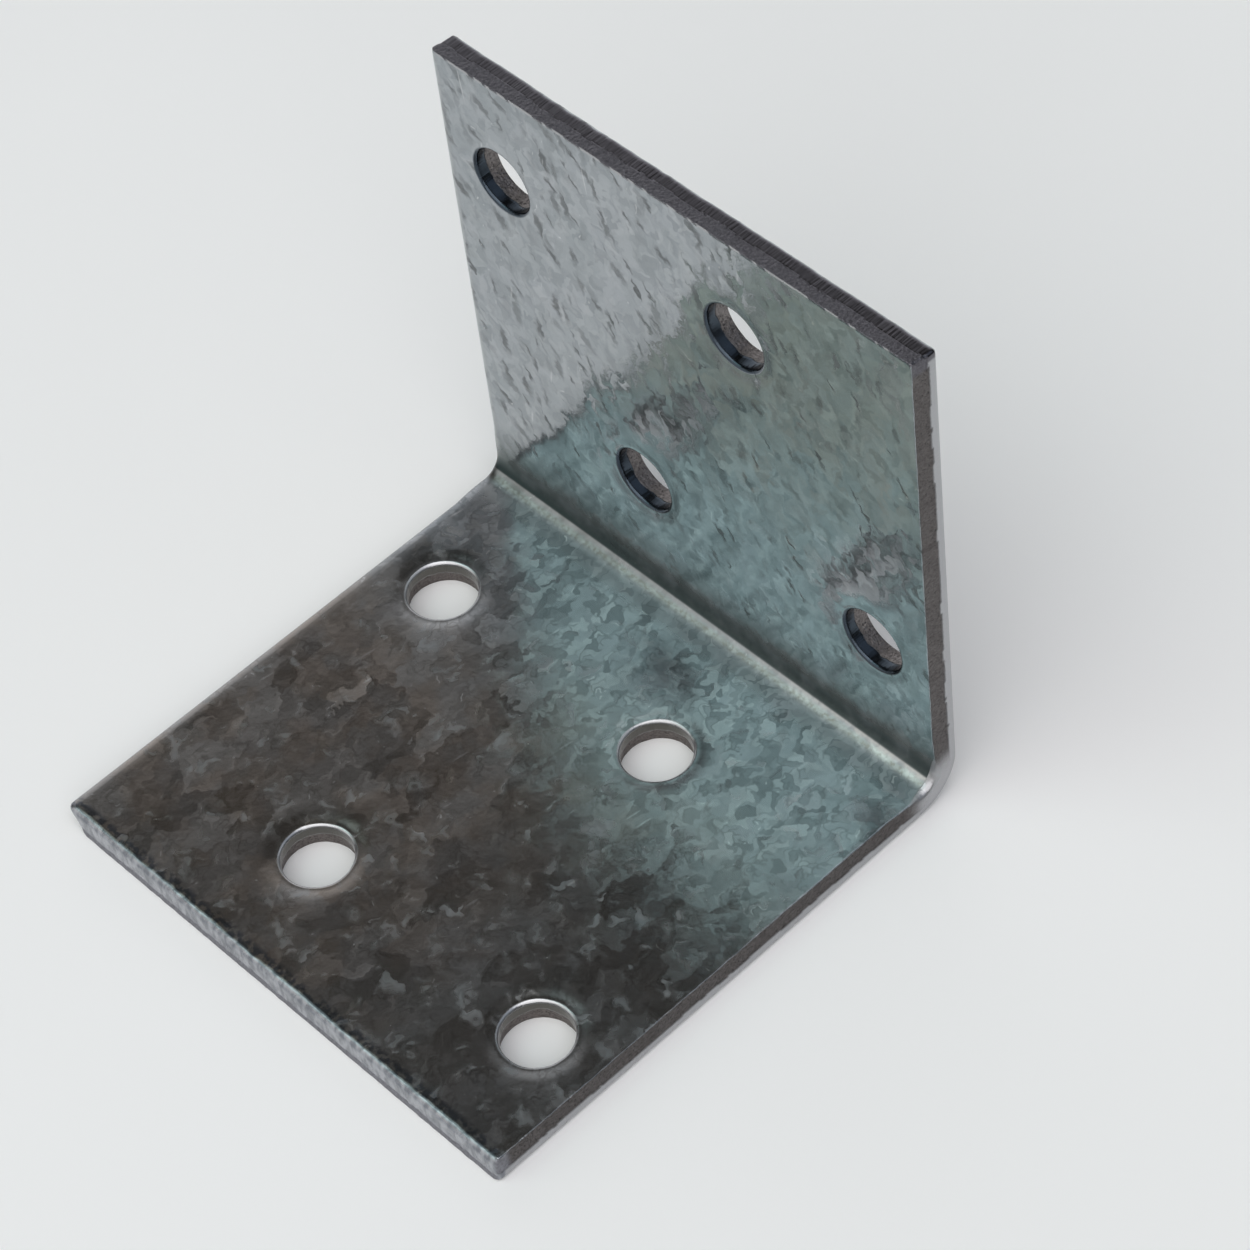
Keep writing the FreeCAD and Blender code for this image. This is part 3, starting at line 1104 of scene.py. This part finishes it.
def tilted_normal(nodes, place, coat, dull):
    """Return the normal with the lean of the coat, the fold's grain, the dished sheet and the left edge."""
    in_fold = nodes.product(nodes.spread(place.from_fold, *fold_lean_reach), place.on_inside)
    dished = nodes.product(
        nodes.spread(place.across, *dish_across), place.on_inside,
        nodes.spread(place.along, *dish_start), nodes.spread(place.along, *dish_stop))
    runs_out = nodes.product(nodes.spread(place.across, *run_out_across), place.on_inside)
    tilt = nodes.together(
        coat_tilt(nodes, place, coat, dull),
        nodes.scale(centred(nodes, place.speckle_colour, fold_lean), in_fold),
        nodes.scale(dish_lean, dished),
        nodes.scale(run_out_lean, runs_out))
    normal = nodes.add("ShaderNodeNewGeometry").outputs["Normal"]
    return nodes.vector("NORMALIZE", nodes.vector("ADD", normal, tilt))


def relief(nodes, place):
    """Return the height of the fine relief: torn steel, drawn streaks in smooth bands and a wavy coat."""
    torn = nodes.product(nodes.lumps(place.strip, *torn_relief_noise), place.torn)
    drawn = nodes.vector("MULTIPLY", place.strip, drawn_relief_stretch)
    streaks = nodes.product(nodes.lumps(drawn, *drawn_relief_noise), place.smooth, drawn_relief)
    return nodes.total(torn, streaks, nodes.product(place.ripple, coat_relief))


def make_floor():
    """Add the pale floor."""
    mesh = bpy.data.meshes.new("floor")
    corners = [(-1, -1), (1, -1), (1, 1), (-1, 1)]
    mesh.from_pydata([(x * floor_reach, y * floor_reach, 0.0) for x, y in corners], [], [(0, 1, 2, 3)])
    material = bpy.data.materials.new("pale_floor")
    nodes = Nodes(material)
    place = nodes.add("ShaderNodeTexCoord").outputs["Object"]
    colour = nodes.mix(nodes.clouds(place, *floor_noise)[0], *floor_colours)
    nodes.surface({"Base Color": colour, "Roughness": floor_roughness})
    mesh.materials.append(material)
    floor = add_object("floor", mesh)


def make_room():
    """Light the scene softly from all round: a dim room with a few broad glows."""
    world = bpy.data.worlds.new("room")
    nodes = Nodes(world)
    towards = nodes.add("ShaderNodeTexCoord").outputs["Generated"]
    colour = room_colour
    for direction, core, rim, glow in room_glows:
        inputs = {0: towards, 1: Vector(direction).normalized()}
        facing = nodes.add("ShaderNodeVectorMath", inputs, operation="DOT_PRODUCT").outputs["Value"]
        at_rim = math.cos(math.radians(rim))
        at_core = math.cos(math.radians(core))
        colour = nodes.mix(nodes.spread(facing, at_rim, at_core), colour, glow)
    background = nodes.add("ShaderNodeBackground", {"Color": colour, "Strength": 1.0})
    nodes.add("ShaderNodeOutputWorld", {"Surface": background.outputs[0]})
    bpy.context.scene.world = world


def make_key_lamp():
    """Add the soft lamp that lights the floor from the front right."""
    lamp = bpy.data.lights.new("key_lamp", "AREA")
    lamp.size = key_size
    lamp.energy = key_radiance * math.pi * key_size ** 2
    lamp.color = key_colour
    key = add_object("key_lamp", lamp)
    outwards = Vector(key_direction).normalized()
    key.location = outwards * key_distance
    key.rotation_euler = outwards.to_track_quat("Z", "Y").to_euler()


def make_camera():
    """Add the camera at the photograph's place."""
    data = bpy.data.cameras.new("camera")
    data.sensor_width = camera_sensor
    data.lens = camera_lens
    data.clip_start = camera_near
    azimuth = math.radians(camera_azimuth)
    elevation = math.radians(camera_elevation)
    level = Vector((math.sin(azimuth), -math.cos(azimuth), 0.0)) * math.cos(elevation)
    back = level + Vector((0.0, 0.0, math.sin(elevation)))
    upright = back.to_track_quat("Z", "Y").to_matrix().to_4x4()
    roll = Matrix.Rotation(math.radians(camera_roll), 4, "Z")
    camera = add_object("camera", data)
    camera.matrix_world = Matrix.Translation(camera_place) @ upright @ roll
    bpy.context.scene.camera = camera


bpy.context.scene.view_settings.view_transform = "Standard"
bracket = make_bracket()
bracket.data.materials.append(zinc_material())
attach(bracket, "root")
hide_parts("angle_bracket")
make_floor()
make_room()
make_key_lamp()
make_camera()
